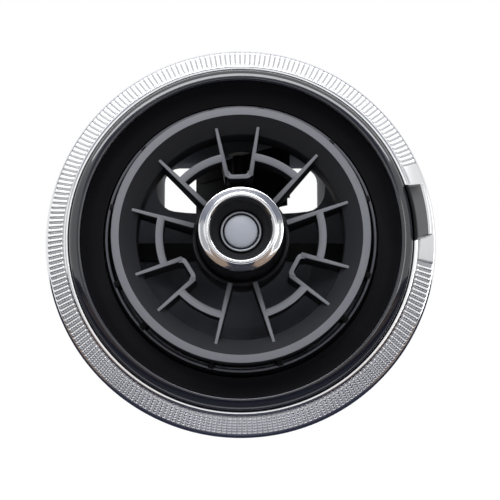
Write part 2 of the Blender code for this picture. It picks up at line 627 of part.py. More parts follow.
def nozzle_grille():
    """Rim, cone, hoop, ribs, spokes, brackets and webs of the nozzle, moulded as one piece."""
    straight, legs = nozzle_angles()
    face = -nozzle_face
    back = -2.0 * mm
    cone_run = rim_inner_radius - throat_radius
    rim = [(rim_inner_radius, face + 0.1 * mm), (rim_inner_radius + 0.15 * mm, face),
           (rim_outer_radius - 0.4 * mm, face), (rim_outer_radius, face + 0.4 * mm),
           (rim_outer_radius, back), (rim_outer_radius - nozzle_wall, back),
           (rim_outer_radius - nozzle_wall, face + 1.7 * mm), (rim_inner_radius - 0.2 * mm, face + 1.9 * mm),
           (throat_radius + nozzle_wall, face + throat_depth + 0.9 * mm),
           (throat_radius + nozzle_wall, back), (throat_radius, back),
           (throat_radius, face + throat_depth), (throat_radius + cone_run * 0.5, face + throat_depth * 0.46)]
    body = turned("nozzle_grille", rim, material=slate_plastic, parent=nozzle_axis)
    outside = [(r, y - pivot_y) for r, y in around_pivot(ball_radius, hoop_front, -hoop_back, 4)]
    inside = [(r, y - pivot_y) for r, y in around_pivot(ball_radius - hoop_wall, hoop_front, -hoop_back, 3)]
    rib_radius = sqrt(ball_radius ** 2 - hoop_front ** 2) - 0.25 * mm
    hoop = turned("hoop", outside + inside[::-1])
    sleeve = turned("sleeve", [(sleeve_radius - sleeve_wall, -7.5 * mm), (sleeve_radius, -7.5 * mm),
                               (sleeve_radius, 3.5 * mm), (sleeve_radius - sleeve_wall, 3.5 * mm)], 36)
    pieces = [hoop, sleeve]
    for pair in straight + legs:
        for angle in pair:
            start = sleeve_radius - 0.4 * mm if pair in straight else bracket_foot_radius
            pieces.append(blade(start, spoke_tip_radius, width_at(start), spoke_tip_width,
                                (front_edge(start), front_edge(spoke_tip_radius)),
                                (-3.0 * mm if pair in straight else 0.0, 3.0 * mm), angle))
            pieces.append(blade(rim_outer_radius - 0.6 * mm, rib_radius, 1.7 * mm, 1.7 * mm,
                                (9.6 * mm, hoop_front - 0.05 * mm), (2.4 * mm, 2.4 * mm), angle))
    for low, high in legs:
        middle = radians((low + high) / 2)
        half = bracket_foot_radius * sin(radians(bracket_half_angle)) + 0.75 * mm
        foot = bracket_foot_radius * cos(radians(bracket_half_angle))
        outer = [(half, foot + 1.6 * mm), (half - 0.3 * mm, foot + 0.4 * mm),
                 (half - 0.85 * mm, foot - 0.35 * mm), (half - 1.8 * mm, foot - 0.75 * mm)]
        inner = [(half - 2.2 * mm, foot + 0.55 * mm), (half - 1.7 * mm, foot + 0.9 * mm),
                 (half - 1.45 * mm, foot + 1.6 * mm)]
        outline = (outer + [(-x, y) for x, y in outer[::-1]] + [(-x, y) for x, y in inner[::-1]] + inner)
        place = (Matrix.Rotation(radians(90.0) - middle, 4, "Y")
                 @ Matrix.Translation((0.0, -front_edge(bracket_foot_radius), 0.0)) @ facing_back)
        pieces.append(extruded("foot", outline, front_edge(bracket_foot_radius), place))
    order = sorted((angle, pair in legs) for pair in straight + legs for angle in pair)
    web = [(web_inner_radius, -front_edge(web_inner_radius)),
           (web_outer_radius, -front_edge(web_outer_radius)),
           (web_outer_radius, -4.0 * mm), (web_inner_radius, -4.0 * mm)]
    for i, (angle, is_leg) in enumerate(order):
        after, next_is_leg = order[(i + 1) % len(order)]
        if is_leg != next_is_leg:
            pieces.append(turned("web", web, 5, from_angle=angle, sweep=(after - angle) % 360.0))
    join(body, pieces)
    return body


def hub_core():
    """Hollow core of the nozzle: it holds the knob in front and the cross joint's yoke inside."""
    floor_front = core_floor + core_floor_wall
    inside = sleeve_radius - sleeve_wall - seat_gap
    neck = knob_radius - 1.6 * mm
    lip = 4.9 * mm - knob_front
    profile = [(0.0, -floor_front), (neck - 0.6 * mm, -floor_front), (neck, lip + 1.3 * mm), (neck, lip),
               (neck + 0.9 * mm, lip), (inside - 0.8 * mm, lip + 2.8 * mm), (inside - 0.3 * mm, -9.5 * mm),
               (inside, -3.0 * mm), (inside - 0.2 * mm, 3.0 * mm), (inside - 1.1 * mm, 8.0 * mm),
               (core_hollow_radius, 8.0 * mm), (core_hollow_radius, -core_floor), (0.0, -core_floor)]
    body = turned("hub_core", profile, 36, black_plastic, nozzle_axis)
    prongs = []
    for side in (-1.0, 1.0):
        near, far = sorted((side * prong_inside, side * prong_outside))
        prongs.append(block("prong", (-prong_half_width, -core_floor - 0.5 * mm, near),
                            (prong_half_width, 2.2 * mm, far)))
    join(body, prongs)
    bore = rod("bore", pin_radius + pin_play, (0, 0, -7 * mm), (0, 0, 7 * mm))
    well = rod("well", button_radius - button_wall - 0.5 * mm, (0, -floor_front - 1 * mm, 0),
               (0, -floor_front + 0.8 * mm, 0))
    cut(body, [bore, well])
    return body


def knob():
    """Chrome knob ring, its dish, the collar and the sprung button, on the nozzle's axis."""
    front = -knob_front
    floor_front = core_floor + core_floor_wall
    chrome = [(knob_radius - 0.05 * mm, front + 4.6 * mm), (knob_radius, front + 2.9 * mm),
              (knob_radius - 0.3 * mm, front + 1.7 * mm), (knob_radius - 1.0 * mm, front + 0.75 * mm),
              (knob_crest_radius + 0.55 * mm, front + 0.15 * mm), (knob_crest_radius, front),
              (dish_radius + 0.35 * mm, front + 0.12 * mm), (dish_radius + 0.1 * mm, front + 0.5 * mm),
              (dish_radius, front + 1.0 * mm), (dish_radius, front + 1.6 * mm),
              (dish_radius + 0.9 * mm, front + 1.6 * mm), (knob_radius - 1.3 * mm, front + 2.6 * mm),
              (knob_radius - 0.95 * mm, front + 4.6 * mm)]
    turned("knob_ring", chrome, 40, bright_chrome, nozzle_axis)
    bore_back = -floor_front - seat_gap
    dish = [(dish_radius - 0.25 * mm, front + 1.4 * mm), (dish_radius - 1.2 * mm, front + 3.8 * mm),
            (bore_radius + 0.35 * mm, front + 5.2 * mm), (bore_radius, front + 5.6 * mm),
            (bore_radius, bore_back), (bore_radius + 1.25 * mm, bore_back),
            (bore_radius + 1.25 * mm, front + 6.0 * mm),
            (dish_radius - 0.2 * mm, front + 4.5 * mm), (dish_radius + 0.6 * mm, front + 2.2 * mm)]
    turned("knob_dish", dish, 32, black_plastic, nozzle_axis)
    collar_back = -collar_face + 4.9 * mm
    collar_inside = button_radius + collar_gap
    outside = collar_outer_radius
    collar = [(collar_inside, -collar_face), (collar_inside + 0.15 * mm, -collar_face - 0.15 * mm),
              (outside - 0.1 * mm, -collar_face - 0.15 * mm), (outside, -collar_face), (outside, collar_back),
              (collar_inside, collar_back)]
    turned("button_collar", collar, 32, satin_silver, nozzle_axis)
    stop = collar_back + seat_gap
    skirt = outside - 0.1 * mm
    hollow = button_radius - button_wall
    cap = [(0.0, -button_face), (button_radius - 0.35 * mm, -button_face),
           (button_radius, -button_face + 0.35 * mm), (button_radius, stop), (skirt, stop),
           (skirt, stop + 0.5 * mm), (hollow, stop + 0.5 * mm), (hollow, -button_hollow_front),
           (0.0, -button_hollow_front)]
    turned("centre_button", cap, 32, satin_silver, nozzle_axis)


def button_spring():
    """Coil spring between the core's well and the button."""
    wire = 0.25 * mm
    radius = button_radius - button_wall - 0.9 * mm
    turns = 4
    sides = 5
    low = core_floor + core_floor_wall - 0.8 * mm + wire + seat_gap
    high = button_hollow_front - wire - seat_gap
    steps = turns * 12
    work = bmesh.new()
    rings = []
    for i in range(steps + 1):
        angle = radians(360.0 * turns * i / steps)
        centre = Vector((radius * cos(angle), -low - (high - low) * i / steps, radius * sin(angle)))
        outwards = Vector((cos(angle), 0.0, sin(angle)))
        rings.append([work.verts.new(centre + outwards * wire * cos(radians(360.0 * k / sides))
                                     + Vector((0.0, wire * sin(radians(360.0 * k / sides)), 0.0)))
                      for k in range(sides)])
    for first, second in zip(rings, rings[1:]):
        for k in range(sides):
            n = (k + 1) % sides
            work.faces.new((first[k], first[n], second[n], second[k]))
    work.faces.new(rings[0])
    work.faces.new(rings[-1][::-1])
    make_object("button_spring", work, spring_steel, nozzle_axis)


def damper():
    """Flap on an upright axle in the duct, with its bushes, edge lips, crank and ball pin."""
    turn = Matrix.Translation((0.0, flap_y, 0.0)) @ Matrix.Rotation(radians(flap_open_angle), 4, "Z")
    crank_turn = (Matrix.Translation((0.0, flap_y, 0.0))
                  @ Matrix.Rotation(radians(flap_open_angle - 45.0), 4, "Z"))
    half = flap_wall / 2
    flap_bottom = duct_floor + flap_end_gap
    flap_top = duct_roof - flap_end_gap
    plate = block("flap", (-half, -flap_half_length, flap_bottom), (half, flap_half_length, flap_top),
                  turn, black_plastic)
    barrel = rod("barrel", 2.7 * mm, (0, flap_y, flap_bottom), (0, flap_y, flap_top))
    ribs = [block("rib", (-half - 0.5 * mm, -flap_half_length + 1 * mm, z - 0.6 * mm),
                  (half + 0.5 * mm, flap_half_length - 1 * mm, z + 0.6 * mm), turn)
            for z in (flap_bottom + 5 * mm, flap_top - 5 * mm)]
    join(plate, [barrel] + ribs)
    cut(plate, [rod("bore", axle_radius + 0.15 * mm, (0, flap_y, flap_bottom - 2 * mm),
                    (0, flap_y, flap_top + 2 * mm))])
    lip_short = duct_corner * 0.42
    for name, side in (("flap_lip_front", -1.0), ("flap_lip_rear", 1.0)):
        near = flap_half_length + seat_gap
        low, high = sorted((side * near, side * (near + flap_lip_width)))
        thin = flap_lip_wall / 2
        outline = [(-thin, low), (thin, low), (thin, high), (-thin, high)]
        extruded(name, outline, flap_top - flap_bottom - 2 * lip_short,
                 turn @ Matrix.Translation((0, 0, flap_bottom + lip_short)), black_foam)
    crank_low = duct_roof + duct_wall + 0.3 * mm
    crank_high = crank_low + crank_wall
    clip_top = duct_floor - duct_wall - seat_gap
    rod("flap_axle", axle_radius, (0, flap_y, clip_top - 1.1 * mm), (0, flap_y, crank_high + 0.2 * mm),
        material=spring_steel)
    tip = 2.3 * mm
    boss = 3.2 * mm
    lever = [(-boss, 0.0), (-tip, -crank_radius)]
    lever += [(tip * cos(radians(a)), -crank_radius - tip * sin(radians(a))) for a in (150, 120, 90, 60, 30)]
    lever += [(tip, -crank_radius)]
    lever += [(boss * cos(radians(a)), boss * sin(radians(a))) for a in (0, 30, 60, 90, 120, 150)]
    crank = extruded("flap_crank", lever, crank_high - crank_low,
                     crank_turn @ Matrix.Translation((0, 0, crank_low)), white_plastic)
    pin_spot = crank_turn @ Vector((0.0, -crank_radius, 0.0))
    neck = rod("neck", 0.9 * mm, pin_spot + Vector((0, 0, crank_low + 0.5 * mm)),
               pin_spot + Vector((0, 0, ball_pin_z)), 12)
    knob_mesh = bmesh.new()
    bmesh.ops.create_uvsphere(knob_mesh, u_segments=16, v_segments=10, radius=ball_pin_radius,
                              matrix=Matrix.Translation(pin_spot + Vector((0, 0, ball_pin_z))))
    join(crank, [neck, make_object("ball", knob_mesh)])
    cut(crank, [rod("bore", axle_radius + 0.15 * mm, (0, flap_y, crank_low - 2 * mm),
                    (0, flap_y, crank_high + 2 * mm))])
    place = Matrix.Translation((0, flap_y, 0)) @ Matrix.Rotation(radians(90.0), 4, "X")
    for name, height, side in (("flap_bush_top", duct_roof, 1.0), ("flap_bush_bottom", duct_floor, -1.0)):
        seat = height - side * seat_gap
        end = seat - side * bush_flange_wall
        outline = [(bush_bore_radius, end), (bush_flange_radius, end), (bush_flange_radius, seat),
                   (bush_radius, seat), (bush_radius, height + side * (duct_wall + 0.1 * mm)),
                   (bush_bore_radius, height + side * (duct_wall + 0.1 * mm))]
        turned(name, outline, small_steps, white_plastic).matrix_world = place
    clip_low = clip_top - 0.7 * mm
    clip = turned("axle_clip", [(bush_bore_radius, clip_low), (3.0 * mm, clip_low), (3.0 * mm, clip_top),
                                (bush_bore_radius, clip_top)], small_steps, spring_steel)
    clip.matrix_world = place


def duct_seal():
    """Foam band round the end of the duct."""
    inner = duct_wall + seat_gap
    outer = inner + 3 * mm
    outside = rounded_rectangle(duct_half_width + outer, duct_floor - outer,
                                duct_roof + outer, duct_corner + outer)
    inside = rounded_rectangle(duct_half_width + inner, duct_floor - inner,
                               duct_roof + inner, duct_corner + inner)
    place = Matrix.Translation((0, duct_end_y - 8 * mm, 0)) @ facing_back
    band = extruded("duct_seal", outside, 6.0 * mm, place, black_foam)
    lower = Matrix.Translation((0, -1 * mm, 0))
    cut(band, [extruded("hollow", inside, 8.0 * mm, lower @ place)])


housing()
front_bowl()
bowl_screws()
inner_trim_ring()
knurled_ring()
ring_carrier()
snap_clips()
pivot_bridge()
gimbal_cross()
nozzle_grille()
hub_core()
knob()
button_spring()
damper()
duct_seal()
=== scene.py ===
from math import asin, atan2, cos, radians, sin

import bpy
from mathutils import Matrix, Vector


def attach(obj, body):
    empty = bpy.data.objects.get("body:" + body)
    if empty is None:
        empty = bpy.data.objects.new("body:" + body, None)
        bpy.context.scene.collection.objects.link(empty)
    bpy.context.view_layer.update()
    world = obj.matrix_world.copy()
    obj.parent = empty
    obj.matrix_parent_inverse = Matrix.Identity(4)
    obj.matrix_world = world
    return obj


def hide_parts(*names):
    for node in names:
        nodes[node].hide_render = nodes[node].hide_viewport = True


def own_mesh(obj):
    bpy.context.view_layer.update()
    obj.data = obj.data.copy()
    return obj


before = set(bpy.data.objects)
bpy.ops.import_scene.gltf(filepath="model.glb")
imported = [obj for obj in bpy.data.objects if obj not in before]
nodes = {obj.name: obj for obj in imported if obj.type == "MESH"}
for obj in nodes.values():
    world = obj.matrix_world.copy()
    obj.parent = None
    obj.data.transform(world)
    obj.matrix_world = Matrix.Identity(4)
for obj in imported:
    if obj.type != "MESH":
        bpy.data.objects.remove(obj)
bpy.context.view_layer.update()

# The vent faces -Y, and its axis is Y. Lengths in the dictionaries are millimetres, but the studio's are
# metres. Angles are degrees, counter-clockwise from the right as the vent's face is seen.
mm = 0.001
fullTurn = 360.0

# The nozzle is modelled upright about its pivot, then leaned back to where it rests
pivot = Vector((0.0, -2.5 * mm, 0.0))
nozzleLean = Matrix.Translation(pivot) @ Matrix.Rotation(radians(-2.5), 4, "X")


def clearSelection():
    if bpy.context.object and bpy.context.object.mode != "OBJECT":
        bpy.ops.object.mode_set(mode="OBJECT")
    bpy.ops.object.select_all(action="DESELECT")


def pick(piece):
    clearSelection()
    piece.select_set(True)
    bpy.context.view_layer.objects.active = piece


def settle(piece, place=None):
    # the piece's place goes into its mesh
    pick(piece)
    if place is not None:
        piece.matrix_world = place @ piece.matrix_world
    bpy.ops.object.transform_apply(location=True, rotation=True, scale=True)
    return piece


def turnAbout(piece, degrees):
    return settle(piece, Matrix.Rotation(-radians(degrees), 4, "Y"))


def copyOf(piece):
    pick(piece)
    bpy.ops.object.duplicate(linked=False)
    return bpy.context.object


def joinPieces(name, pieces):
    clearSelection()
    for piece in pieces:
        piece.select_set(True)
    bpy.context.view_layer.objects.active = pieces[0]
    bpy.ops.object.join()
    joined = bpy.context.object
    joined.name = name
    joined.data.name = name
    return joined


def applyModifier(piece, kind, **values):
    pick(piece)
    step = piece.modifiers.new(kind.lower(), kind)
    for key, value in values.items():
        setattr(step, key, value)
    bpy.ops.object.modifier_apply(modifier=step.name)
    return piece


def roundEdges(piece, width, segments=2, angle=28.0):
    return applyModifier(piece, "BEVEL", width=width * mm, segments=segments, limit_method="ANGLE",
                         angle_limit=radians(angle), harden_normals=False)


def smooth(piece, angle=30.0):
    pick(piece)
    bpy.ops.object.shade_smooth_by_angle(angle=radians(angle))
    return piece


def mergeCorners():
    bpy.ops.mesh.select_all(action="SELECT")
    bpy.ops.mesh.remove_doubles(threshold=0.0005 * mm)


def fillOpenEnds():
    bpy.ops.mesh.select_mode(type="EDGE")
    bpy.ops.mesh.select_all(action="DESELECT")
    bpy.ops.mesh.select_non_manifold(use_wire=False, use_multi_face=False, use_non_contiguous=False,
                                     use_verts=False)
    bpy.ops.mesh.edge_face_add()
    bpy.ops.mesh.select_mode(type="VERT")


def pointFacesOut():
    # the last step in edit mode
    bpy.ops.mesh.select_all(action="SELECT")
    bpy.ops.mesh.normals_make_consistent(inside=False)
    bpy.ops.object.mode_set(mode="OBJECT")


def drawOutline(name, corners):
    # one vertex pushed from corner to corner and back to the first, left open in edit mode
    clearSelection()
    bpy.ops.mesh.primitive_plane_add(size=mm)
    piece = bpy.context.object
    piece.name = name
    bpy.ops.object.mode_set(mode="EDIT")
    bpy.ops.mesh.select_all(action="SELECT")
    bpy.ops.mesh.merge(type="CENTER")
    bpy.ops.transform.translate(value=corners[0])
    for here, there in zip(corners, corners[1:] + corners[:1]):
        bpy.ops.mesh.extrude_vertices_move(TRANSFORM_OT_translate={"value": there - here})
    mergeCorners()
    return piece


def turnedPiece(name, outline, steps, edge=0.0, segments=2, start=0.0, sweep=fullTurn):
    # an outline of (radius, y) spun about the vent's axis, all round or from start through sweep
    piece = drawOutline(name, [Vector((radius * mm, y * mm, 0.0)) for radius, y in outline])
    isPartTurn = sweep < fullTurn
    if isPartTurn:
        bpy.ops.mesh.edge_face_add()
    bpy.ops.mesh.spin(steps=steps, angle=radians(sweep), center=(0.0, 0.0, 0.0), axis=(0.0, 1.0, 0.0),
                      use_auto_merge=True)
    mergeCorners()
    if isPartTurn:
        fillOpenEnds()
    pointFacesOut()
    if edge:
        roundEdges(piece, edge, segments)
    if start:
        turnAbout(piece, start)
    return piece


def slab(name, corners, start, across, cuts=(1.0,)):
    # a face through the corners, moved to its start and carried across in one or more cuts
    piece = drawOutline(name, [Vector((x * mm, y * mm, z * mm)) for x, y, z in corners])
    bpy.ops.mesh.edge_face_add()
    bpy.ops.transform.translate(value=Vector(start) * mm)
    for share in cuts:
        bpy.ops.mesh.extrude_region_move(TRANSFORM_OT_translate={"value": Vector(across) * share * mm})
    pointFacesOut()
    return piece


def sphereArc(radius, first, last, count, centre=0.0):
    # points of (radius, y) on a ball, from one distance ahead of its centre to another
    start, stop = asin(first / radius), asin(last / radius)
    angles = [start + (stop - start) * i / (count - 1) for i in range(count)]
    return [(radius * cos(a), centre - radius * sin(a)) for a in angles]


# Materials
def newMaterial(name):
    material = bpy.data.materials.new(name)
    material.use_nodes = True
    tree = material.node_tree
    return material, tree, tree.nodes["Principled BSDF"]


def addNode(tree, kind, **inputs):
    node = tree.nodes.new(kind)
    for key, value in inputs.items():
        node.inputs[key.replace("_", " ")].default_value = value
    return node


def addNoise(tree, place, **inputs):
    noise = addNode(tree, "ShaderNodeTexNoise", **inputs)
    tree.links.new(place.outputs["Object"], noise.inputs["Vector"])
    return noise.outputs["Fac"]


def mixColours(tree, share, first, second):
    # a colour mix node has its factor at 0, its two colours at 6 and 7, and its result at 2;
    # first is None where another node gives it
    mix = tree.nodes.new("ShaderNodeMix")
    mix.data_type = "RGBA"
    tree.links.new(share, mix.inputs[0])
    if first is not None:
        mix.inputs[6].default_value = (*first, 1.0)
    mix.inputs[7].default_value = (*second, 1.0)
    return mix


def spreadGloss(tree, shader, haze, smoothest, roughest):
    gloss = addNode(tree, "ShaderNodeMapRange", To_Min=smoothest, To_Max=roughest)
    tree.links.new(haze, gloss.inputs["Value"])
    tree.links.new(gloss.outputs["Result"], shader.inputs["Roughness"])


def addRelief(tree, shader, height, strength, depth):
    relief = addNode(tree, "ShaderNodeBump", Strength=strength, Distance=depth * mm)
    tree.links.new(height, relief.inputs["Height"])
    tree.links.new(relief.outputs["Normal"], shader.inputs["Normal"])


def grainedPlastic(name, colour, roughness, grain, bump=0.05, paintedFrontLight=None, specular=0.4, mottled=0.12):
    # fine grain in the bump, faint mottling in the colour and gloss, and front faces in paintedFrontLight:
    # a painted light on the faces that look ahead, towards the lamps
    material, tree, shader = newMaterial(name)
    place = tree.nodes.new("ShaderNodeTexCoord")
    fine = addNoise(tree, place, Scale=grain, Detail=3.0, Roughness=0.6)
    broad = addNoise(tree, place, Scale=90.0, Detail=2.0)
    darker = [c * (1.0 - mottled) for c in colour]
    lighter = [c * (1.0 + mottled) for c in colour]
    shade = mixColours(tree, broad, darker, lighter)
    if paintedFrontLight:
        # the painted light is in full up to 10 degrees from straight ahead, and not at all past 31 degrees
        split = tree.nodes.new("ShaderNodeSeparateXYZ")
        facing = addNode(tree, "ShaderNodeMapRange", From_Min=-0.86, From_Max=-0.985)
        tree.links.new(place.outputs["Normal"], split.inputs[0])
        tree.links.new(split.outputs["Y"], facing.inputs["Value"])
        front = mixColours(tree, facing.outputs["Result"], None, paintedFrontLight)
        tree.links.new(shade.outputs[2], front.inputs[6])
        shade = front
    tree.links.new(shade.outputs[2], shader.inputs["Base Color"])
    spreadGloss(tree, shader, broad, roughness - 0.05, roughness + 0.07)
    addRelief(tree, shader, fine, bump, 0.1)
    shader.inputs["Specular IOR Level"].default_value = specular
    return material


def platedMetal(name, colour, roughness):
    # bright plate: faint ripple, and fine handling haze in the colour and gloss
    material, tree, shader = newMaterial(name)
    place = tree.nodes.new("ShaderNodeTexCoord")
    haze = addNoise(tree, place, Scale=160.0, Detail=4.0, Roughness=0.55)
    wave = addNoise(tree, place, Scale=60.0, Detail=1.0)
    tint = mixColours(tree, haze, colour, [c * 0.94 for c in colour])
    tree.links.new(tint.outputs[2], shader.inputs["Base Color"])
    spreadGloss(tree, shader, haze, roughness - 0.03, roughness + 0.05)
    addRelief(tree, shader, wave, 0.02, 0.2)
    shader.inputs["Metallic"].default_value = 1.0
    return material


def glossBlack(name, colour, roughness):
    # deep black moulding under a clear coat
    material, tree, shader = newMaterial(name)
    place = tree.nodes.new("ShaderNodeTexCoord")
    haze = addNoise(tree, place, Scale=140.0, Detail=4.0)
    spreadGloss(tree, shader, haze, roughness, roughness + 0.08)
    shader.inputs["Base Color"].default_value = (*colour, 1.0)
    shader.inputs["Coat Weight"].default_value = 0.9
    shader.inputs["Coat Roughness"].default_value = 0.04
    return material


metals = {
    "brightChrome": {"colour": (0.82, 0.83, 0.85), "roughness": 0.1},
    "knurlChrome": {"colour": (0.94, 0.945, 0.955), "roughness": 0.2},
    # chrome darkened for painted shade on the floor of the knurl's grooves
    "grooveChromePaintedShade": {"colour": (0.46, 0.46, 0.48), "roughness": 0.3},
    "satinChrome": {"colour": (0.74, 0.745, 0.76), "roughness": 0.3},
    # a darker chrome for the tab's inner face: a painted dark reflection
    "tabPaintedDarkReflection": {"colour": (0.15, 0.152, 0.155), "roughness": 0.16},
    "collarSilver": {"colour": (0.24, 0.255, 0.28), "roughness": 0.3},
    "springSteel": {"colour": (0.5, 0.51, 0.52), "roughness": 0.28},
}
plastics = {
    "bowlBlack": {"colour": (0.004, 0.004, 0.0055), "roughness": 0.5, "grain": 4000.0, "bump": 0.04,
                  "specular": 0.15},
    # the black of the core and the flap, and painted shade on the nozzle's sleeve
    "coreBlackAndSleeveShade": {"colour": (0.009, 0.009, 0.011), "roughness": 0.42, "grain": 4000.0, "bump": 0.04,
                  "specular": 0.3},
    # dark on the walls and lighter on faces that look ahead: painted shade and painted light
    "slateGrey": {"colour": (0.014, 0.0145, 0.018), "roughness": 0.5, "grain": 5000.0,
                  "paintedFrontLight": (0.15, 0.155, 0.175), "specular": 0.2},
    # the hoop is moulded with the rim but darker, for painted shade, with a painted highlight on its front
    # edge
    "hoopPaintedShadeAndHighlight": {"colour": (0.006, 0.006, 0.008), "roughness": 0.42, "grain": 5000.0, "bump": 0.04,
                  "paintedFrontLight": (0.09, 0.092, 0.11), "specular": 0.2},
    # the ribs are moulded with the rim, but near black here: painted shade in the gap behind it
    "ribPaintedShade": {"colour": (0.004, 0.004, 0.005), "roughness": 0.6, "grain": 5000.0, "bump": 0.04,
                 "specular": 0.08},
    "cupSlate": {"colour": (0.21, 0.22, 0.26), "roughness": 0.6, "grain": 3000.0, "bump": 0.06,
                 "specular": 0.12},
    "buttonSilver": {"colour": (0.3, 0.318, 0.365), "roughness": 0.34, "grain": 6000.0, "bump": 0.02,
                     "mottled": 0.05},
    "naturalWhite": {"colour": (0.62, 0.62, 0.58), "roughness": 0.42, "grain": 3000.0, "bump": 0.03,
                     "mottled": 0.04},
    "sealFoam": {"colour": (0.018, 0.018, 0.02), "roughness": 0.9, "grain": 900.0, "bump": 0.6,
                 "specular": 0.2},
    "lipRubber": {"colour": (0.014, 0.014, 0.016), "roughness": 0.7, "grain": 2500.0, "bump": 0.1},
}
finishes = {name: platedMetal(name, **values) for name, values in metals.items()}
for name, values in plastics.items():
    finishes[name] = grainedPlastic(name, **values)
finishes["darkChrome"] = glossBlack("darkChrome", (0.006, 0.007, 0.013), 0.1)

# Pieces that stay as the frame gives them, by finish
nodeFinishes = {
    "cupSlate": ["housing"],
    "bowlBlack": ["pivot_bridge"],
    "coreBlackAndSleeveShade": ["ring_carrier", "hub_core", "flap"],
    "naturalWhite": ["gimbal_cross", "flap_crank", "flap_bush_top", "flap_bush_bottom"],
    "springSteel": ["bowl_screw_1", "bowl_screw_2", "bowl_screw_3", "snap_clip_1", "snap_clip_2",
                    "snap_clip_3", "snap_clip_4", "flap_axle", "axle_clip"],
    "sealFoam": ["duct_seal"],
    "lipRubber": ["flap_lip_front", "flap_lip_rear"],
}
for finishName, nodeNames in nodeFinishes.items():
    for nodeName in nodeNames:
        for slot in nodes[nodeName].material_slots:
            slot.material = finishes[finishName]
print("finishes made")


def finish(piece, material, body, replaced):
    # its finish, the body it rides on, and the node that it stands for
    piece.data.materials.clear()
    piece.data.materials.append(finishes[material])
    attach(piece, body)
    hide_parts(replaced)


# Control ring. Its knurl stands on a sloping band, apart from a smooth plate with the finger tab
ring = {
    "bandInner": (50.35, -11.1), "bandOuter": (54.95, -6.95), "bandSink": 0.2, "steps": 288,
    "skirt": [(55.3, -6.68), (55.6, -6.32), (55.82, -5.9), (55.93, -5.4), (55.2, -0.62)],
    "inside": [(54.3, -0.62), (54.5, -5.5), (50.4, -9.5), (48.75, -9.7)],
    "bead": [(48.75, -11.95), (48.81, -12.2), (48.95, -12.34), (49.15, -12.39), (49.5, -12.39),
             (49.75, -12.3), (49.95, -12.08), (50.1, -11.75), (50.25, -11.3)],
    "plateFrom": -7.0, "plateTo": 24.0, "plateSteps": 40, "plateEdge": 0.12,
    # (share of the way out along the band, height above it)
    "grooveOutline": [(-0.01, -0.1), (1.01, -0.1), (1.01, -0.3), (-0.01, -0.3)],
    "plateOutline": [(0.0, -0.05), (0.02, 0.42), (0.97, 0.42), (1.04, 0.1), (1.03, -0.4), (0.05, -0.5)],
}
# rowShape is (share of a row, share of the height). The cuts are across a ridge, and fall gives the share
# of its height that it loses within each share of its half width.
knurl = {
    "teeth": 234, "rows": 6, "tall": 0.4, "sink": 0.15, "margin": 0.01, "midRadius": 52.8, "share": 0.86,
    "rowShape": [(0.0, 0.58), (0.2, 0.9), (0.5, 1.0), (0.8, 0.9)], "cuts": (0.2, 0.3, 0.3, 0.2),
    "fall": [(0.1, 0.0), (0.7, 0.07), (1.1, 0.98)], "gapAfterPlate": 0.6,
}
# the tab's ends lean in, so that it is shorter at the crest than at the root
tab = {
    "from": -1.0, "to": 18.2, "root": 48.85, "crest": 53.85, "lean": 0.2, "steps": 26,
    "outline": [(48.85, -11.4), (48.85, -12.6), (49.15, -13.0), (52.6, -15.3), (52.85, -15.45),
                (53.2, -15.45), (53.5, -15.25), (53.85, -13.9), (53.85, -9.4), (52.2, -9.4)],
    "faceOutline": [(48.8, -12.2), (48.8, -12.64), (49.1, -13.05), (52.5, -15.32), (52.75, -15.1),
                    (49.4, -12.7), (49.3, -12.2)],
    "edge": 0.16, "faceEdge": 0.05, "faceShorter": 0.7,
}


def onBand(share, height=0.0):
    # (radius, y) of a spot on the band
    inner, outer = Vector(ring["bandInner"]), Vector(ring["bandOuter"])
    run = outer - inner
    return inner + run * share + Vector((run.y, -run.x)).normalized() * height


def makeRingBody():
    band = [onBand(0.0, -ring["bandSink"]), onBand(1.0, -ring["bandSink"])]
    outline = band + ring["skirt"] + ring["inside"] + ring["bead"]
    return smooth(turnedPiece("knurledRing", outline, ring["steps"]), 25.0)


def makeGrooveFloor():
    # floor of the grooves between the ridges, in a darker chrome: painted shade
    outline = [onBand(*spot) for spot in ring["grooveOutline"]]
    return smooth(turnedPiece("grooveFloor", outline, ring["steps"]), 25.0)


def ridgeOutline():
    # along the band, with a notch between its rows
    first, run = knurl["margin"], 1.0 - 2 * knurl["margin"]
    corners = [onBand(first, -knurl["sink"])]
    for row in range(knurl["rows"]):
        for part, rise in knurl["rowShape"]:
            corners.append(onBand(first + run * (row + part) / knurl["rows"], knurl["tall"] * rise))
    notch = knurl["rowShape"][0][1]
    return corners + [onBand(first + run, knurl["tall"] * notch), onBand(first + run, -knurl["sink"])]


def archRidge(ridge, wide):
    # it falls away to both sides, and gets wider outwards as the ring does
    foot = onBand(0.0)
    ahead = onBand(0.0, 1.0) - foot
    for vertex in ridge.data.vertices:
        rise = (vertex.co.xy - foot * mm).dot(ahead)
        across = abs(vertex.co.z) / (wide / 2 * mm)
        lost = next(fall for reach, fall in knurl["fall"] if across < reach)
        if rise > 0.0:
            vertex.co.xy -= ahead * rise * lost
        vertex.co.z *= vertex.co.x / (knurl["midRadius"] * mm)


def setRound(piece, step, count):
    guide = bpy.data.objects.new("guide", None)
    bpy.context.collection.objects.link(guide)
    guide.rotation_euler = (0.0, -radians(step), 0.0)
    bpy.context.view_layer.update()
    applyModifier(piece, "ARRAY", count=count, use_relative_offset=False, use_object_offset=True,
                  offset_object=guide)
    bpy.data.objects.remove(guide)
    return piece


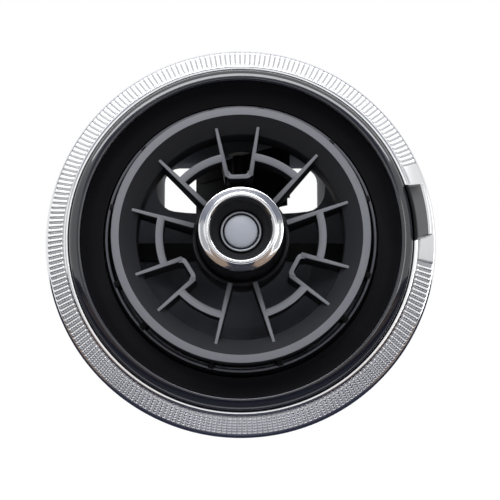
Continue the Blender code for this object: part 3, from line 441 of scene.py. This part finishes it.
def makeKnurl():
    # one ridge, then its copies round the ring from one end of the plate to the other
    step = fullTurn / knurl["teeth"]
    wide = radians(step) * knurl["midRadius"] * knurl["share"]
    corners = [(*spot, 0.0) for spot in ridgeOutline()]
    ridge = slab("knurl", corners, (0.0, 0.0, -wide / 2), (0.0, 0.0, wide), knurl["cuts"])
    archRidge(ridge, wide)
    turnAbout(ridge, ring["plateTo"] + step * knurl["gapAfterPlate"])
    knurled = fullTurn - (ring["plateTo"] - ring["plateFrom"])
    return smooth(setRound(ridge, step, int(knurled / step)), 60.0)


def makePlate():
    outline = [onBand(*spot) for spot in ring["plateOutline"]]
    plate = turnedPiece("ringPlate", outline, ring["plateSteps"], ring["plateEdge"],
                        start=ring["plateFrom"], sweep=ring["plateTo"] - ring["plateFrom"])
    return smooth(plate, 30.0)


def makeTab(name, outline, edge, shorter=0.0):
    sweep = tab["to"] - tab["from"] - shorter
    piece = turnedPiece(name, outline, tab["steps"], edge, 3, -sweep / 2, sweep)
    for vertex in piece.data.vertices:
        radial = Vector((vertex.co.x, vertex.co.z))
        share = (radial.length / mm - tab["root"]) / (tab["crest"] - tab["root"])
        angle = atan2(radial.y, radial.x) * (1.0 - tab["lean"] * max(0.0, share))
        vertex.co.x = radial.length * cos(angle)
        vertex.co.z = radial.length * sin(angle)
    turnAbout(piece, (tab["from"] + tab["to"]) / 2)
    return smooth(piece, 35.0)


ringPieces = [
    (makeRingBody(), "brightChrome"),
    (makeGrooveFloor(), "grooveChromePaintedShade"),
    (makeKnurl(), "knurlChrome"),
    (makePlate(), "satinChrome"),
    (makeTab("ringTab", tab["outline"], tab["edge"]), "brightChrome"),
    # a thin piece over the tab's inner slope, in darker chrome: a painted dark reflection
    (makeTab("tabFace", tab["faceOutline"], tab["faceEdge"], tab["faceShorter"]), "tabPaintedDarkReflection"),
]
for piece, material in ringPieces:
    finish(piece, material, "ring", "knurled_ring")
print("control ring made")

# Dark trim ring, from its foot over the rounded front to the lip and back
trim = {
    "steps": 256,
    "outline": [(48.6, -9.95), (48.6, -12.0), (48.5, -12.7), (48.35, -13.2), (48.1, -13.62),
                (47.7, -13.97), (47.2, -14.27), (46.7, -14.5), (46.2, -14.67), (45.75, -14.78),
                (45.5, -14.76), (45.3, -14.68), (45.12, -14.53), (45.02, -14.3), (45.0, -13.35),
                (46.1, -13.35), (46.9, -12.6), (47.7, -10.75), (47.7, -9.95)],
}
finish(smooth(turnedPiece("trimRing", trim["outline"], trim["steps"]), 40.0), "darkChrome", "housing",
       "inner_trim_ring")

# Bowl: a ball seat for the nozzle, a dished front, a tube for the ring to turn on, and its screw bosses
bowl = {
    "steps": 192, "ball": 39.7, "ballCentre": -2.5, "seatFrom": -0.6, "seatTo": 6.5, "seatPoints": 8,
    "front": [(39.75, -9.2), (41.0, -9.75), (42.2, -10.35), (43.2, -11.1), (44.1, -12.0), (44.98, -12.95),
              (46.0, -12.95), (46.6, -12.2)],
    "tube": [(47.5, -10.4), (47.5, -1.9), (45.7, -1.9), (45.7, -10.2)],
    "back": [(43.0, -9.2), (41.4, -7.8), (41.4, -1.9)],
    "bossAngles": (48.0, 132.0, 270.0), "bossPlace": 44.0, "bossFront": -9.4, "bossBack": -1.9,
    "bossRadius": 2.8, "bossHole": 1.35, "bossSteps": 24,
}


def makeBowl():
    seat = sphereArc(bowl["ball"], bowl["seatFrom"], bowl["seatTo"], bowl["seatPoints"],
                     bowl["ballCentre"])
    outline = seat + bowl["front"] + bowl["tube"] + bowl["back"]
    parts = [turnedPiece("bowl", outline, bowl["steps"])]
    hole, wall = bowl["bossHole"], bowl["bossRadius"]
    front, back = bowl["bossFront"], bowl["bossBack"]
    bossOutline = [(hole, front), (wall, front), (wall, back), (hole, back)]
    for degrees in bowl["bossAngles"]:
        boss = turnedPiece("boss", bossOutline, bowl["bossSteps"])
        away = Vector((bowl["bossPlace"] * mm, 0.0, 0.0))
        boss.location = Matrix.Rotation(-radians(degrees), 4, "Y") @ away
        parts.append(settle(boss))
    return smooth(joinPieces("bowl", parts), 30.0)


finish(makeBowl(), "bowlBlack", "housing", "front_bowl")
print("trim and bowl made")

# Nozzle, with y counted from its pivot. Spokes stand in straight pairs, and as the legs of U brackets
spokes = {
    "turn": 2.0, "pairs": (30.0, 150.0, 270.0), "brackets": (90.0, 210.0, 330.0), "pairHalf": 14.8,
    "bracketHalf": 10.9, "root": 13.9, "grip": 0.4, "tip": 33.0, "tipWide": 0.85, "rootWide": 1.55,
    "rootFront": 9.8, "dish": 3.0, "rootBack": 3.0, "tipBack": -3.0, "edge": 0.16,
}
# outside and inside are (x from the foot's outer corner, height above the foot)
bracket = {
    "foot": 17.6, "proud": 0.02, "legHalfWide": 0.75,
    "outside": [(0.0, 1.6), (-0.3, 0.45), (-0.75, -0.3), (-1.35, -0.65), (-2.0, -0.75)],
    "inside": [(-2.3, 0.55), (-1.9, 0.7), (-1.6, 1.05), (-1.45, 1.6)],
}
web = {"inner": 21.9, "outer": 24.1, "back": -4.0, "steps": 14}
rim = {"face": 15.0, "outer": 36.3, "inner": 33.9, "throat": 29.4, "throatDepth": 4.6, "wall": 1.4,
       "back": -2.0, "steps": 224}
hoop = {"ball": 39.3, "wall": 1.4, "front": 8.8, "back": -5.0, "insideFront": 7.2, "lip": (37.6, -8.72),
        "points": 9, "edge": 0.1, "steps": 224}
ribs = {"size": (2.5, 6.6, 1.7), "place": (36.9, -5.9, 0.0), "edge": 0.2}
sleeve = {"outline": [(12.7, -7.2), (13.6, -7.5), (13.9, -7.1), (13.9, 3.5), (12.7, 3.5)], "edge": 0.12,
          "steps": 128}
straightAngles = [spokes["turn"] + a + s * spokes["pairHalf"] for a in spokes["pairs"] for s in (-1, 1)]
legAngles = [spokes["turn"] + a + s * spokes["bracketHalf"] for a in spokes["brackets"] for s in (-1, 1)]


def spokeShare(radius):
    return (radius - spokes["root"]) / (spokes["tip"] - spokes["root"])


def spokeFront(radius):
    return spokes["rootFront"] + spokes["dish"] * spokeShare(radius)


def spokeWide(radius):
    return spokes["rootWide"] + (spokes["tipWide"] - spokes["rootWide"]) * spokeShare(radius)


def makeRim():
    # rounded rim with a straight outer wall, and a cone that narrows behind it to the throat
    outer, inner, throat = rim["outer"], rim["inner"], rim["throat"]
    wall, back, front = rim["wall"], rim["back"], -rim["face"]
    coneEnd = front + rim["throatDepth"]
    outline = [(inner + 0.03, front + 0.12), (inner + 0.16, front), (outer - 0.22, front),
               (outer - 0.06, front + 0.07), (outer, front + 0.25), (outer, back), (outer - wall, back),
               (outer - wall, front + 1.7), (inner - 0.2, front + 1.9), (throat + wall, coneEnd + 0.9),
               (throat + wall, back), (throat, back), (throat, coneEnd + 0.3),
               (throat + 0.1, coneEnd - 0.1), ((inner + throat) / 2, front + rim["throatDepth"] * 0.49)]
    return smooth(turnedPiece("nozzleRim", outline, rim["steps"]), 24.0)


def makeHoop():
    # spherical band behind the rim, thinner at its front
    ball, back, count = hoop["ball"], hoop["back"], hoop["points"]
    outside = sphereArc(ball, hoop["front"], back, count)
    inside = sphereArc(ball - hoop["wall"], back, hoop["insideFront"], count - 1)
    outline = outside + inside + [hoop["lip"]]
    return smooth(turnedPiece("nozzleHoop", outline, hoop["steps"], hoop["edge"]), 30.0)


def makeRibs():
    # twelve ribs from the rim out to the hoop
    clearSelection()
    bpy.ops.mesh.primitive_cube_add(size=1.0)
    rib = bpy.context.object
    rib.scale = Vector(ribs["size"]) * mm
    rib.location = Vector(ribs["place"]) * mm
    settle(rib)
    roundEdges(rib, ribs["edge"])
    parts = [turnAbout(copyOf(rib), degrees) for degrees in straightAngles + legAngles]
    bpy.data.objects.remove(rib)
    return smooth(joinPieces("nozzleRibs", parts), 30.0)


def makeBlade(start, rootBack):
    # a spoke along the radius, its front edge dished, thinner at the tip
    tip, tipBack = spokes["tip"], spokes["tipBack"]
    middle = (start + tip) / 2
    outline = [(start, -spokeFront(start)), (middle, -spokeFront(middle)), (tip, -spokeFront(tip)),
               (tip, tipBack), (middle, rootBack * 0.4 + tipBack * 0.6), (start, rootBack)]
    wide = spokeWide(start)
    corners = [(*spot, 0.0) for spot in outline]
    blade = slab("blade", corners, (0.0, 0.0, -wide / 2), (0.0, 0.0, wide))
    for vertex in blade.data.vertices:
        vertex.co.z *= spokeWide(vertex.co.x / mm) / wide
    return roundEdges(blade, spokes["edge"], 2, 40.0)


def mirrorBack(points):
    return [(-x, z) for x, z in points[::-1]]


def makeBracketFoot(middle):
    # the bar of a U, with rounded corners where it meets its legs
    half = bracket["foot"] * sin(radians(spokes["bracketHalf"])) + bracket["legHalfWide"]
    foot = bracket["foot"] * cos(radians(spokes["bracketHalf"]))
    outside = [(half + x, foot + z) for x, z in bracket["outside"]]
    inside = [(half + x, foot + z) for x, z in bracket["inside"]]
    outline = outside + mirrorBack(outside) + mirrorBack(inside) + inside
    deep = spokeFront(bracket["foot"])
    corners = [(x, 0.0, z) for x, z in outline]
    piece = slab("foot", corners, (0.0, -deep - bracket["proud"], 0.0), (0.0, deep, 0.0))
    roundEdges(piece, spokes["edge"], 2, 50.0)
    return turnAbout(piece, middle - 90.0)


def makeWebs():
    # arcs between the spokes, from each straight spoke to the bracket beside it
    inner, outer, back = web["inner"], web["outer"], web["back"]
    outline = [(inner, -spokeFront(inner)), (outer, -spokeFront(outer)), (outer, back), (inner, back)]
    straight = [(angle, "straight") for angle in straightAngles]
    order = sorted(straight + [(angle, "leg") for angle in legAngles])
    webs = []
    for (angle, kind), (nextAngle, nextKind) in zip(order, order[1:] + order[:1]):
        if kind != nextKind:
            piece = turnedPiece("web", outline, web["steps"], spokes["edge"], start=angle,
                                sweep=(nextAngle - angle) % fullTurn)
            webs.append(piece)
    return webs


def makeSpokes():
    straight = makeBlade(spokes["root"] - spokes["grip"], spokes["rootBack"])
    leg = makeBlade(bracket["foot"], 0.0)
    parts = [turnAbout(copyOf(straight), degrees) for degrees in straightAngles]
    parts += [turnAbout(copyOf(leg), degrees) for degrees in legAngles]
    bpy.data.objects.remove(straight)
    bpy.data.objects.remove(leg)
    parts += [makeBracketFoot(spokes["turn"] + angle) for angle in spokes["brackets"]]
    return smooth(joinPieces("nozzleSpokes", parts + makeWebs()), 30.0)


def makeSleeve():
    return smooth(turnedPiece("nozzleSleeve", sleeve["outline"], sleeve["steps"], sleeve["edge"]), 30.0)


nozzlePieces = [
    (makeRim(), "slateGrey"),
    (makeHoop(), "hoopPaintedShadeAndHighlight"),
    (makeRibs(), "ribPaintedShade"),
    (makeSpokes(), "slateGrey"),
    # the sleeve is moulded with the slate spokes; its black is painted shade, as it lies in the knob's
    # shadow
    (makeSleeve(), "coreBlackAndSleeveShade"),
]
for piece, material in nozzlePieces:
    finish(settle(piece, nozzleLean), material, "nozzle", "nozzle_grille")
print("nozzle made")

# Knob and button, with y counted from the nozzle's pivot
knob = {
    "knobRing": {
        "finish": "brightChrome", "body": "nozzle", "slot": "bright_chrome", "node": "knob_ring",
        "outline": [(11.62, -17.65), (11.7, -19.2), (11.7, -21.12), (11.67, -21.2), (11.59, -21.24),
                    (10.8, -21.42), (10.1, -21.58), (9.92, -21.66), (9.84, -21.85), (9.74, -22.0),
                    (9.6, -22.06), (9.15, -22.06), (9.02, -21.98), (8.95, -21.75), (8.9, -21.5),
                    (8.78, -21.42), (8.72, -21.2), (8.72, -20.65), (9.6, -20.65), (10.4, -19.6),
                    (10.78, -17.65)]},
    "knobDish": {
        "finish": "coreBlackAndSleeveShade", "body": "nozzle", "slot": "black_plastic", "node": "knob_dish",
        "outline": [(8.66, -20.9), (8.56, -21.1), (8.42, -21.12), (8.3, -20.9), (8.2, -20.1),
                    (7.95, -19.2), (7.45, -18.35), (6.9, -17.6), (6.35, -17.05), (6.08, -16.6),
                    (6.08, -9.25), (7.28, -9.25), (7.28, -16.2), (8.5, -17.7), (9.25, -19.95)]},
    "buttonCollar": {
        "finish": "collarSilver", "body": "nozzle", "slot": "satin_silver", "node": "button_collar",
        "outline": [(5.05, -16.85), (5.12, -17.0), (5.25, -17.06), (5.55, -17.06), (5.68, -17.0),
                    (5.75, -16.85), (5.75, -12.05), (5.05, -12.05)]},
    "centreButton": {
        "finish": "buttonSilver", "body": "button", "slot": "satin_silver", "node": "centre_button",
        "outline": [(0.0, -18.08), (1.2, -18.05), (2.3, -17.95), (3.4, -17.76), (4.1, -17.58),
                    (4.4, -17.46), (4.55, -17.3), (4.58, -17.1), (4.58, -11.72), (5.62, -11.72),
                    (5.62, -11.22), (3.32, -11.22), (3.32, -16.38), (0.0, -16.38)]},
}
knobSteps = 128  # round each outline
for name, values in knob.items():
    piece = settle(smooth(turnedPiece(name, values["outline"], knobSteps), 32.0), nozzleLean)
    finish(piece, values["finish"], values["body"], values["node"])

# Coil between the core's well and the button: back, front and foot are ahead of the pivot
coil = {"wire": 0.25, "radius": 2.4, "turns": 4, "sides": 8, "stepsPerTurn": 28, "back": 8.65,
        "front": 15.85, "foot": 8.4, "pressed": 0.72}


def makeSpring():
    wire, radius, back = coil["wire"], coil["radius"], coil["back"]
    angles = [radians(fullTurn * i / coil["sides"]) for i in range(coil["sides"])]
    corners = [((radius + wire * cos(a)) * mm, (wire * sin(a) - back) * mm, 0.0) for a in angles]
    spring = drawOutline("buttonSpring", [Vector(corner) for corner in corners])
    bpy.ops.object.mode_set(mode="OBJECT")
    steps = coil["turns"] * coil["stepsPerTurn"]
    applyModifier(spring, "SCREW", axis="Y", angle=coil["turns"] * radians(fullTurn), steps=steps,
                  render_steps=steps, screw_offset=(back - coil["front"]) * mm, use_merge_vertices=False)
    bpy.ops.object.mode_set(mode="EDIT")
    bpy.ops.mesh.select_all(action="SELECT")
    bpy.ops.mesh.fill_holes(sides=0)
    pointFacesOut()
    return smooth(spring, 60.0)


# a real coil shortens towards its foot as the button goes in; here it is built at one length, and coil's
# foot and pressed go unused
spring = settle(makeSpring(), nozzleLean)
finish(spring, "springSteel", "nozzle", "button_spring")
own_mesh(spring)
print("knob made")

# Studio, in metres: white floor and sky, two soft lamps, and cards that only shiny surfaces see
studio = {"floorZ": -0.1, "floorSize": 12.0, "floorPaint": (0.8, 0.8, 0.8),
          "floorShown": (0.78, 0.78, 0.78), "diffuseSky": 0.35}
lamps = {
    "keyLamp": {"centre": (-0.15, -0.75, 0.75), "size": (0.7, 0.5), "power": 9.0},
    "fillLamp": {"centre": (0.5, -0.9, 0.05), "size": (0.5, 0.5), "power": 2.0},
}
cards = {
    "underCard": {"x": (-0.9, 0.9), "y": (-0.085, -0.004), "z": -0.096, "colour": (0.13, 0.135, 0.16)},
    "underStrip": {"x": (-0.6, 0.6), "y": (-0.032, -0.012), "z": -0.095, "colour": (1.15, 1.15, 1.2)},
    "topCard": {"x": (-0.7, 0.7), "y": (-0.2, 0.7), "z": 0.8, "colour": (1.06, 1.06, 1.08)},
    "trimStrip": {"x": (-0.75, 0.75), "y": (-0.42, -0.23), "z": 0.52, "colour": (6.0, 6.0, 6.1)},
    "rearLowCard": {"x": (-2.0, 2.0), "y": (-0.004, 3.0), "z": -0.096, "colour": (0.022, 0.027, 0.05)},
    "frontLowCard": {"x": (-0.9, 0.9), "y": (-0.75, -0.085), "z": -0.096, "colour": (0.045, 0.045, 0.06)},
    "warmLeft": {"x": (-0.42, -0.06), "y": (-0.9, -0.16), "z": -0.094, "colour": (0.34, 0.25, 0.19)},
    "warmRight": {"x": (0.06, 0.42), "y": (-0.9, -0.16), "z": -0.094, "colour": (0.34, 0.25, 0.19)},
    "sideLeft": {"x": (-0.56, -0.28), "y": (-1.05, -0.65), "z": 0.12, "colour": (0.45, 0.46, 0.48),
                 "facesVent": True},
    "sideRight": {"x": (0.28, 0.56), "y": (-1.05, -0.65), "z": 0.12, "colour": (0.55, 0.55, 0.54),
                  "facesVent": True},
    "highCard": {"x": (-0.7, 0.7), "y": (-0.92, -0.48), "z": 0.5, "colour": (0.2, 0.21, 0.26),
                 "facesVent": True},
}
# the camera, in millimetres: it stands below the vent's axis, away from the ring's widest line
camera = {"below": 8.0, "away": 420.0, "ringFront": -6.0, "aimRight": 2.575, "aimDown": 2.575,
          "lens": 105.7, "sensor": 36.0, "nearest": 10.0}


def bareTree(name):
    material, tree, shader = newMaterial(name)
    tree.nodes.remove(shader)
    return material, tree


def seenRay(tree):
    # 1 where the camera, metal or glass looks, and 0 for the light that falls on the vent
    rays = tree.nodes.new("ShaderNodeLightPath")
    seen = rays.outputs["Is Camera Ray"]
    for kind in ("Is Glossy Ray", "Is Transmission Ray"):
        either = tree.nodes.new("ShaderNodeMath")
        either.operation = "MAXIMUM"
        tree.links.new(seen, either.inputs[0])
        tree.links.new(rays.outputs[kind], either.inputs[1])
        seen = either.outputs[0]
    return seen


def floorMaterial():
    # pale to the light, and white with the vent's soft shadow where it is seen
    material, tree = bareTree("paleFloor")
    plain = addNode(tree, "ShaderNodeBsdfDiffuse", Color=(*studio["floorPaint"], 1.0))
    glow = addNode(tree, "ShaderNodeEmission", Color=(*studio["floorShown"], 1.0), Strength=1.0)
    both = tree.nodes.new("ShaderNodeAddShader")
    tree.links.new(plain.outputs[0], both.inputs[0])
    tree.links.new(glow.outputs[0], both.inputs[1])
    mix = tree.nodes.new("ShaderNodeMixShader")
    tree.links.new(seenRay(tree), mix.inputs[0])
    tree.links.new(plain.outputs[0], mix.inputs[1])
    tree.links.new(both.outputs[0], mix.inputs[2])
    tree.links.new(mix.outputs[0], tree.nodes["Material Output"].inputs["Surface"])
    return material


def makeWorld():
    world = bpy.data.worlds.new("studioSky")
    world.use_nodes = True
    bpy.context.scene.world = world
    tree = world.node_tree
    strength = addNode(tree, "ShaderNodeMapRange", To_Min=studio["diffuseSky"], To_Max=1.0)
    sky = tree.nodes["Background"]
    sky.inputs["Color"].default_value = (1.0, 1.0, 1.0, 1.0)
    tree.links.new(seenRay(tree), strength.inputs["Value"])
    tree.links.new(strength.outputs["Result"], sky.inputs["Strength"])


def makeFloor():
    clearSelection()
    bpy.ops.mesh.primitive_plane_add(size=studio["floorSize"], location=(0.0, 0.0, studio["floorZ"]))
    floor = bpy.context.object
    floor.name = "floor"
    settle(floor)
    floor.data.materials.append(floorMaterial())


def makeCard(name, x, y, z, colour, facesVent=False):
    # flat at height z, or turned about its middle to face the vent
    clearSelection()
    bpy.ops.mesh.primitive_plane_add(size=1.0)
    card = bpy.context.object
    card.name = name
    card.scale = (x[1] - x[0], y[1] - y[0], 1.0)
    card.location = (sum(x) / 2, sum(y) / 2, z)
    if facesVent:
        card.rotation_euler = (-card.location).to_track_quat("Z", "Y").to_euler()
    settle(card)
    material, tree = bareTree(name)
    glow = addNode(tree, "ShaderNodeEmission", Color=(*colour, 1.0), Strength=1.0)
    tree.links.new(glow.outputs[0], tree.nodes["Material Output"].inputs["Surface"])
    card.data.materials.append(material)
    card.visible_camera = False
    card.visible_diffuse = False
    card.visible_shadow = False


def makeLamp(name, centre, size, power):
    # a soft lamp that faces the vent
    lamp = bpy.data.lights.new(name, "AREA")
    lamp.shape = "RECTANGLE"
    lamp.size, lamp.size_y = size
    lamp.energy = power
    holder = bpy.data.objects.new(name, lamp)
    bpy.context.collection.objects.link(holder)
    holder.location = centre
    holder.rotation_euler = (-Vector(centre)).to_track_quat("-Z", "Y").to_euler()


def makeCamera():
    lens = bpy.data.cameras.new("camera")
    lens.sensor_width = camera["sensor"]
    lens.lens = camera["lens"]
    lens.clip_start = camera["nearest"] * mm
    viewer = bpy.data.objects.new("camera", lens)
    bpy.context.collection.objects.link(viewer)
    below = radians(camera["below"])
    ringCentre = Vector((0.0, camera["ringFront"] * mm, 0.0))
    ahead = Vector((0.0, cos(below), sin(below)))
    up = Vector((0.0, -sin(below), cos(below)))
    place = ringCentre - ahead * camera["away"] * mm
    aim = ringCentre + Vector((camera["aimRight"] * mm, 0.0, 0.0)) - up * camera["aimDown"] * mm
    look = (aim - place).normalized()
    right = look.cross(up).normalized()
    axes = Matrix((right, right.cross(look), -look)).transposed()
    viewer.matrix_world = Matrix.Translation(place) @ axes.to_4x4()
    bpy.context.scene.camera = viewer


makeWorld()
makeFloor()
for name, values in lamps.items():
    makeLamp(name, **values)
for name, values in cards.items():
    makeCard(name, **values)
makeCamera()
bpy.context.scene.view_settings.view_transform = "Standard"
print("studio made")
